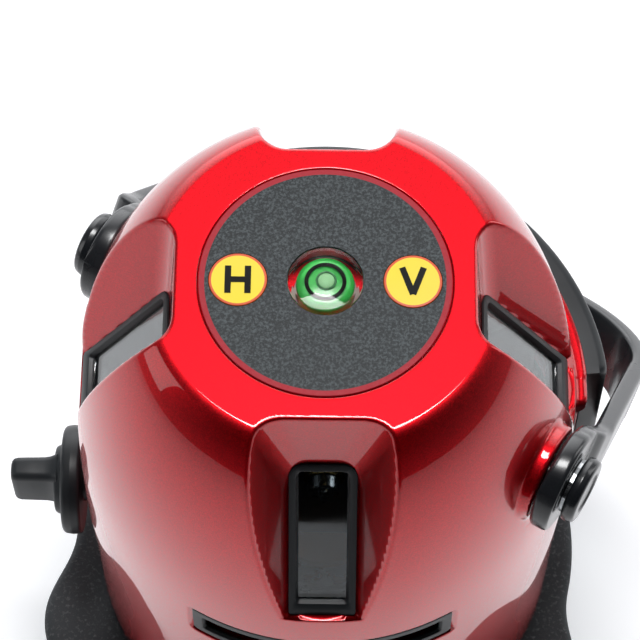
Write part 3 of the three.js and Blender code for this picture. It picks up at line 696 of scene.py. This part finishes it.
# The bubble's paler green is painted light.
add_piece(
    "vial_bubble_painted_light",
    moved(turned([(0.02, TOP - 1.34, 0), (1.9, TOP - 1.34, 0.1), (2.0, TOP - 1.22, 0.1),
                  (1.0, TOP - 1.0, 1.0), (0.02, TOP - 0.98, 0)], 64), **BUBBLE_SPOT),
    BUBBLE_PAINTED_LIGHT, "head", sharp=60)
# A dark ring round the bubble's rim: painted shade.
add_piece(
    "vial_bubble_painted_shade_ring",
    moved(loft(lathe([(2.0, TOP - 1.3), (2.5, TOP - 1.3), (2.4, TOP - 1.12), (2.1, TOP - 1.12)], 64),
               ends="ring"), **BUBBLE_SPOT),
    BUBBLE_RIM_PAINTED_SHADE, "head", sharp=60)
add_piece(
    "vial_ring",
    loft(lathe([(4.0, TOP - 1.2), (4.9, TOP - 1.2), (4.9, TOP - 1.05), (4.0, TOP - 1.05)], 96), ends="ring"),
    INK, "head", sharp=30)


# ---------------------------------------------------------------- battery cover
def battery_cover():
    """A curved lid with rounded edges and finger ribs near its lower edge."""
    across, tall, edge = 150, 56, 2.4
    low, high = TOP - BAY["bottom_depth"], TOP - BAY["top_depth"]
    half = math.radians(BAY["half_angle"])
    ease = (1 - np.cos(np.linspace(0, math.pi, tall))) / 2
    heights = low + (high - low) * ease
    wide = np.linspace(-1, 1, across)
    turns = half * np.sin(wide * math.pi / 2) * 0.35 + half * wide * 0.65
    arc, height = np.meshgrid(turns, heights)
    from_end = (half - np.abs(arc)) * BAY["outer"]
    from_edge = np.minimum(height - low, high - height)
    inset = -smooth_max(-from_end, -from_edge, 2.5)
    inset = np.clip(inset, 0, edge)
    rise = BAY["outer"] - edge + np.sqrt(edge ** 2 - (edge - inset) ** 2)
    ribs = np.exp(-((np.mod(height - low, 2.4) - 1.2) / 0.45) ** 2) * 0.55
    in_ribs = (np.abs(arc) * BAY["outer"] < 9) & (height - low > 5.8) & (height - low < 17)
    rise = rise + np.where(in_ribs, ribs, 0)
    outer = np.stack([arc, rise, height], 2).reshape(-1, 3)
    index = np.arange(outer.shape[0]).reshape(tall, across)
    faces = [(index[j, i], index[j, i + 1], index[j + 1, i + 1], index[j + 1, i])
             for j in range(tall - 1) for i in range(across - 1)]
    border = list(index[0]) + list(index[1:, -1]) + list(index[-1, -2::-1]) + list(index[-2:0:-1, 0])
    points = [outer]
    count = len(outer)
    loop = border
    for radius, shrink in ((BAY["inner"], 0.0), (BAY["inner"], 2.2), (BAY["outer"] - 2.6, 2.6)):
        ring = outer[border].copy()
        ring[:, 1] = radius
        ring[:, 0] -= np.sign(ring[:, 0]) * shrink / BAY["outer"] * (np.abs(ring[:, 0]) > half - 1e-6)
        ring[:, 2] = np.clip(ring[:, 2], low + shrink, high - shrink)
        points.append(ring)
        new = list(range(count, count + len(ring)))
        faces += [(loop[(k + 1) % len(loop)], loop[k], new[k], new[(k + 1) % len(new)])
                  for k in range(len(new))]
        loop = new
        count += len(ring)
    back = outer.copy()
    back[:, 1] = BAY["outer"] - 2.6
    back[:, 0] *= (half - 2.6 / BAY["outer"]) / half
    back[:, 2] = np.clip(back[:, 2], low + 2.6, high - 2.6)
    points.append(back)
    index = index + count
    faces += [(index[j, i], index[j + 1, i], index[j + 1, i + 1], index[j, i + 1])
              for j in range(tall - 1) for i in range(across - 1)]
    polar = np.concatenate(points)
    angle = polar[:, 0] + math.radians(BAY["azimuth"])
    return np.column_stack([polar[:, 1] * np.cos(angle), polar[:, 1] * np.sin(angle), polar[:, 2]]), faces


add_piece("battery_lid", battery_cover(), SATIN, "battery_cover", ("battery_cover",), sharp=35)


# ---------------------------------------------------------------- handle and its screws
def handle_strap():
    """The bail: a band that starts at one round eye, follows the bow and ends at the other eye."""
    t = HANDLE["thickness"]
    bend = HANDLE["corner"] + t / 2
    centre = HANDLE["end_half"] - HANDLE["corner"]
    straight = HANDLE["reach"] - HANDLE["corner"]
    along = list(np.linspace(-HANDLE["eye"], 24, 46))

    def arm(seat):
        """The middle line from an eye to the cross bar's middle."""
        line = []
        for a in along:
            share = min(1, max(0, (a - 9.0) / 5.5))
            swell = (HANDLE["half"] - seat - 0.3) * share * share * (3 - 2 * share)
            line.append((seat + 0.3 + t / 2 + swell, a))
        start = line[-1][0]
        line += [(start + (centre + bend - start) * k / 14, 24 + (straight - 24) * k / 14)
                 for k in range(1, 14)]
        line += [(centre + bend * math.cos(q), straight + bend * math.sin(q))
                 for q in np.linspace(0, math.pi / 2, 28)]
        return line + [(centre * (1 - k / 8), straight + bend) for k in range(1, 9)]

    path = arm(PIVOT["right"]) + [(-x, y) for x, y in reversed(arm(PIVOT["left"])[:-1])]
    path = np.array(path)
    slope = np.gradient(path, axis=0)
    slope /= np.linalg.norm(slope, axis=1, keepdims=True)
    outward = np.column_stack([slope[:, 1], -slope[:, 0]])
    loops = []
    for i, (spot, normal) in enumerate(zip(path, outward)):
        a = spot[1]
        near_eye = i < len(along) or i >= len(path) - len(along)
        if near_eye and a < 3:
            half = math.sqrt(max(HANDLE["eye"] ** 2 - a * a, 0.02))
        else:
            ease = min(1, max(0, (a - 3) / 21)) if near_eye else 1
            start = math.sqrt(HANDLE["eye"] ** 2 - 9)
            half = start + (HANDLE["width"] / 2 - start) * ease * ease * (3 - 2 * ease)
        corner = min(1.3, half * 0.45)
        section = fillet([(t / 2, -half, corner), (t / 2, half, corner), (-t / 2, half, corner),
                          (-t / 2, -half, corner)], closed=True, steps=4)
        loops.append(np.column_stack([spot[0] + normal[0] * section[:, 0],
                                      spot[1] + normal[1] * section[:, 0], section[:, 1]]))
    points, faces = loft(loops)
    droop, a = -HANDLE["droop"], math.radians(PIVOT["azimuth"])
    x, y, z = points.T
    y, z = y * math.cos(droop) - z * math.sin(droop), y * math.sin(droop) + z * math.cos(droop)
    x, y = x * math.cos(a) - y * math.sin(a), x * math.sin(a) + y * math.cos(a)
    return np.column_stack([x, y, z + PIVOT["height"]]), faces


add_piece("handle_bail", handle_strap(), GLOSS, "handle", ("handle",), sharp=60)
for name, azimuth in (("right", PIVOT["azimuth"]), ("left", PIVOT["azimuth"] + 180)):
    head_start = PIVOT[name] + 0.3 + HANDLE["thickness"] + 1.3
    cap = turned([(0.02, 49, 0), (4, 49, 0.4), (4, head_start, 0.2), (8.3, head_start, 0.7),
                  (8.6, head_start + 1.7, 0.6), (8.1, head_start + 3.4, 1.1), (5.4, head_start + 3.5, 0.5),
                  (5.0, head_start + 3.1, 0.3), (0.02, head_start + 3.0, 0)])
    add_piece(name + "_pivot_cap", pointing(cap, azimuth, PIVOT["height"]), GLOSS, "head",
              (name + "_handle_screw",), sharp=50)


# ---------------------------------------------------------------- transport lock
def knob_shape():
    """The round dial on its stem, with the flat grip across it."""
    start, disc = KNOB["start"], KNOB["disc"]
    neck, disc_end, hub_end = (start + KNOB[key] for key in ("neck", "disc_end", "hub_end"))
    dial = turned([(5.8, start - 2, 0), (5.8, neck, 0.4), (disc - 0.2, neck, 1.1), (disc, start + 5.3, 0.5),
                   (disc - 0.4, disc_end, 1.4), (9.8, disc_end, 0.9), (9.0, hub_end, 1.0), (3.0, hub_end, 0)])
    levels = [(4.6, 9.4, 9.4), (4.1, 9.0, 10.3), (3.75, 8.7, 11.4), (3.55, 8.55, 13.0), (3.5, 8.5, 16.0),
              (3.42, 8.42, 20.2), (3.2, 8.2, 21.2), (2.75, 7.75, 21.8), (2.2, 7.2, 22.0)]
    grip = loft([rounded_rect(x, -y, y, min(x, 2.2) - 0.05, min(x, 2.2) - 0.05, start + z)
                 for x, y, z in levels])
    return pointing(merged(dial, grip), 180, KNOB["height"])


add_piece("lock_knob_dial", knob_shape(), SATIN, "lock_knob", ("lock_knob",), sharp=45)


# ---------------------------------------------------------------- base and feet
def lobed_radius(turn):
    """Radius of the base's outline at each angle: a disc joined smoothly to three lobes."""
    reach = np.full_like(turn, 95.0)
    directions = np.stack([np.cos(turn), np.sin(turn)], 1)
    for _ in range(60):
        p = directions * reach[:, None]
        shape = reach - BASE["disc"]
        for azimuth in LOBE_AZIMUTHS:
            a = math.radians(azimuth)
            along = np.clip(p @ np.array([math.cos(a), math.sin(a)]), 0, BASE["reach"])
            lobe = np.hypot(p[:, 0] - along * math.cos(a), p[:, 1] - along * math.sin(a)) - BASE["lobe"]
            shape = -smooth_max(-shape, -lobe, 9.0)
        reach -= shape * 0.9
    return np.minimum(reach, BASE["reach"] + BASE["lobe"])


def base_shape():
    turn = np.linspace(0, 2 * math.pi, 360, endpoint=False)
    outline = lobed_radius(turn)

    def loop(inset, z, share=1.0, radius=None):
        r = (outline - inset) * share if radius is None else np.full_like(turn, radius)
        return np.column_stack([r * np.cos(turn), r * np.sin(turn), np.full_like(turn, z)])

    def level(radius, z):
        return loop(0, z, radius=radius)

    top, low = BASE["top"], BASE["underside"]
    boss_low = BASE["boss_bottom"]
    round_top = [loop(3.2 - 3.2 * math.sin(q), top - 3.2 + 3.2 * math.cos(q))
                 for q in np.linspace(0, math.pi / 2, 7)]
    round_low = [loop(1.6 - 1.6 * math.cos(q), low + 1.6 - 1.6 * math.sin(q))
                 for q in np.linspace(0, math.pi / 2, 5)]
    boss = [level(20, low), level(18.4, low - 0.3), level(18, low - 0.8), level(18, boss_low + 0.6),
            level(17.4, boss_low), level(10.3, boss_low), level(10.3, -1), level(7, -1), level(7, 0),
            level(0.5, 0)]
    crown = [level(0.5, 15.9), level(21.4, 15.9), level(22, 15.3), level(22, top + 0.8), level(22.8, top),
             level(42, top), level(58, top)]
    return loft([*reversed(boss), *reversed(round_low), *reversed(round_top), *reversed(crown)])


add_piece("base_body", base_shape(), GREY, "base", ("base_plate",), sharp=50)


def foot_wheel():
    """A thumb wheel with ten rounded grips."""
    turn = np.linspace(0, 2 * math.pi, 240, endpoint=False)
    grip = FOOT["wheel"] - 0.95 * (0.5 + 0.5 * np.cos(10 * turn)) ** 2

    def loop(inset, z):
        r = grip - inset
        return np.column_stack([r * np.cos(turn), r * np.sin(turn), np.full_like(turn, z)])

    low, high = FOOT["wheel_bottom"], FOOT["wheel_top"]
    round_low = [loop(1 - math.sin(q), low + 1 - math.cos(q)) for q in np.linspace(0, math.pi / 2, 5)]
    round_high = [loop(1 - math.cos(q), high - 1 + math.sin(q)) for q in np.linspace(0, math.pi / 2, 5)]
    bore = lathe([(3.3, low)], 240)
    hub = lathe([(7, high), (6.6, high - 0.4), (3.3, high - 0.4)], 240)
    return loft([*bore, *round_low, *round_high, *hub], ends="ring")


def threaded_rod(radius, pitch, low, high):
    """A rod with a helical thread."""
    turn = np.linspace(0, 2 * math.pi, 40, endpoint=False)
    loops = []
    for z in np.arange(low, high, pitch / 6):
        wave = np.abs(np.mod(z / pitch - turn / (2 * math.pi), 1) - 0.5) * 2
        r = radius - 0.55 * (1 - np.clip(wave * 1.3, 0, 1))
        loops.append(np.column_stack([r * np.cos(turn), r * np.sin(turn), np.full_like(turn, z)]))
    return loft(loops)


for number, azimuth in enumerate(LOBE_AZIMUTHS, start=1):
    x, y = (BASE["reach"] * f(math.radians(azimuth)) for f in (math.cos, math.sin))
    tag = f"_{number}"
    add_piece("levelling_wheel" + tag, moved(foot_wheel(), x, y), SATIN, "foot_screw" + tag,
              ("foot_wheel" + tag,), sharp=35)
    add_piece("levelling_screw" + tag, moved(threaded_rod(3.0, 1.0, FOOT["pad_top"] - 3, 2.5), x, y), STEEL,
              "foot_screw" + tag, ("foot_screw" + tag,), sharp=60)
    low, high = FOOT["pad_bottom"], FOOT["pad_top"]
    pad = turned([(0.02, low, 0), (FOOT["pad"], low, 0.6), (FOOT["pad"], low + 2.5, 0.9), (6.5, high, 0.7),
                  (3.4, high, 0.2), (3.4, high - 3.2, 0), (0.02, high - 3.2, 0)])
    add_piece("levelling_pad" + tag, moved(pad, x, y), RUBBER, "foot" + tag, ("foot_pad" + tag,), sharp=50)


# ---------------------------------------------------------------- laser modules
def module_shapes():
    """A stepped barrel, its bright nose ring and the rod lens in the nose."""
    start, nose, end = MODULE["start"], MODULE["nose"], MODULE["end"]
    r = MODULE["radius"]
    barrel = turned([(0.02, start, 0), (r, start, 0.4), (r, start + 2.4, 0.2), (r - 0.4, start + 2.8, 0.2),
                     (r - 0.4, start + 3.6, 0.2), (r, start + 4.0, 0.2), (r, nose, 0.6), (0.02, nose, 0)], 72)
    collar = loft(lathe([(2.2, nose - 0.5), (4.2, nose - 0.5), (4.2, end - 0.3), (3.9, end), (2.6, end),
                         (2.2, end - 0.5)], 72), ends="ring")
    rod = turned([(0.02, -3.2, 0), (1.15, -3.2, 0.2), (1.15, 3.2, 0.2), (0.02, 3.2, 0)], 32)
    swapped = rod[0][:, [0, 2, 1]] * np.array([1, -1, 1]) + np.array([0, 0, end + 0.25])
    return barrel, collar, (swapped, rod[1])


beams = [(name, azimuth, MODULE["depth"]) for name, azimuth in WINDOW_AZIMUTHS.items()]
for name, azimuth, depth in beams + [("level", -90, SLOT["depth"])]:
    barrel, collar, rod = (pointing(shape, azimuth, TOP - depth) for shape in module_shapes())
    add_piece(name + "_module_barrel", barrel, BRASS, "pendulum", (name + "_laser_module",), sharp=40)
    add_piece(name + "_module_collar", collar, STEEL, "pendulum", sharp=40)
    add_piece(name + "_module_lens", rod, PANE, "pendulum", sharp=40)


# ---------------------------------------------------------------- camera, lights and floor
def aim(thing, target):
    thing.rotation_euler = (Vector(target) - thing.location).to_track_quat("-Z", "Y").to_euler()


camera = bpy.data.objects.new("camera", bpy.data.cameras.new("camera"))
camera.data.lens = 155
camera.data.sensor_width = 36
camera.location = (0.00255, -0.2947, 0.7486)
aim(camera, (-0.00113, -0.01047, 0.172))
bpy.context.scene.collection.objects.link(camera)
bpy.context.scene.camera = camera


def softbox(name, place, target, size, power, color=(1, 1, 1)):
    light = bpy.data.lights.new(name, "AREA")
    light.shape = "RECTANGLE"
    light.size, light.size_y = size
    light.energy = power
    light.color = color
    made = bpy.data.objects.new(name, light)
    made.location = place
    aim(made, target)
    bpy.context.scene.collection.objects.link(made)


softbox("overhead", (0.03, 0.22, 1.3), (0, 0, 0.1), (0.45, 0.3), 11)
softbox("left_panel", (-1.1, -0.1, 0.55), (0, 0, 0.1), (0.4, 0.7), 1.6)
softbox("right_panel", (1.0, 0.5, 0.5), (0, 0, 0.1), (0.35, 0.9), 2.6)

floor_size = 4.0
bpy.ops.mesh.primitive_plane_add(size=floor_size, location=(0, 0, FOOT["pad_bottom"] * MM))
floor = bpy.context.object
floor.name = "floor"
floor_material, floor_tree, floor_shader = new_material(
    "floor", Roughness=0.55, Emission_Color=(0.95, 0.97, 1.0, 1), Emission_Strength=0.32)
floor_noise = texture(floor_tree, "noise", 6, Detail=3)
floor_factor = spread(floor_tree, floor_noise.outputs["Fac"], 0, 1)
floor_tone = between(floor_tree, floor_factor, (0.84, 0.85, 0.87), (0.88, 0.88, 0.89))
floor_tree.links.new(floor_tone, floor_shader.inputs["Base Color"])
floor.data.materials.append(floor_material)

world = bpy.data.worlds.new("studio")
bpy.context.scene.world = world
world.use_nodes = True
sky = world.node_tree
place = sky.nodes.new("ShaderNodeTexCoord")


def glow(direction, start, end, strength):
    """Light that grows from nothing to a strength as the view direction nears one direction."""
    toward = sky.nodes.new("ShaderNodeVectorMath")
    toward.operation = "DOT_PRODUCT"
    toward.inputs[1].default_value = Vector(direction).normalized()
    sky.links.new(place.outputs["Generated"], toward.inputs[0])
    return spread(sky, toward.outputs["Value"], 0, strength, start, end)


total = sky.nodes.new("ShaderNodeMath")
total.operation = "ADD"
sky.links.new(glow((0, 0.95, 0.22), 0.72, 0.97, 3.0), total.inputs[0])
sky.links.new(glow((0, 0.55, -0.3), -0.85, 0.7, 0.22), total.inputs[1])
sky.links.new(total.outputs["Value"], sky.nodes["Background"].inputs["Strength"])
sky.nodes["Background"].inputs["Color"].default_value = (0.97, 0.98, 1.0, 1)
bpy.context.scene.view_settings.view_transform = "Standard"
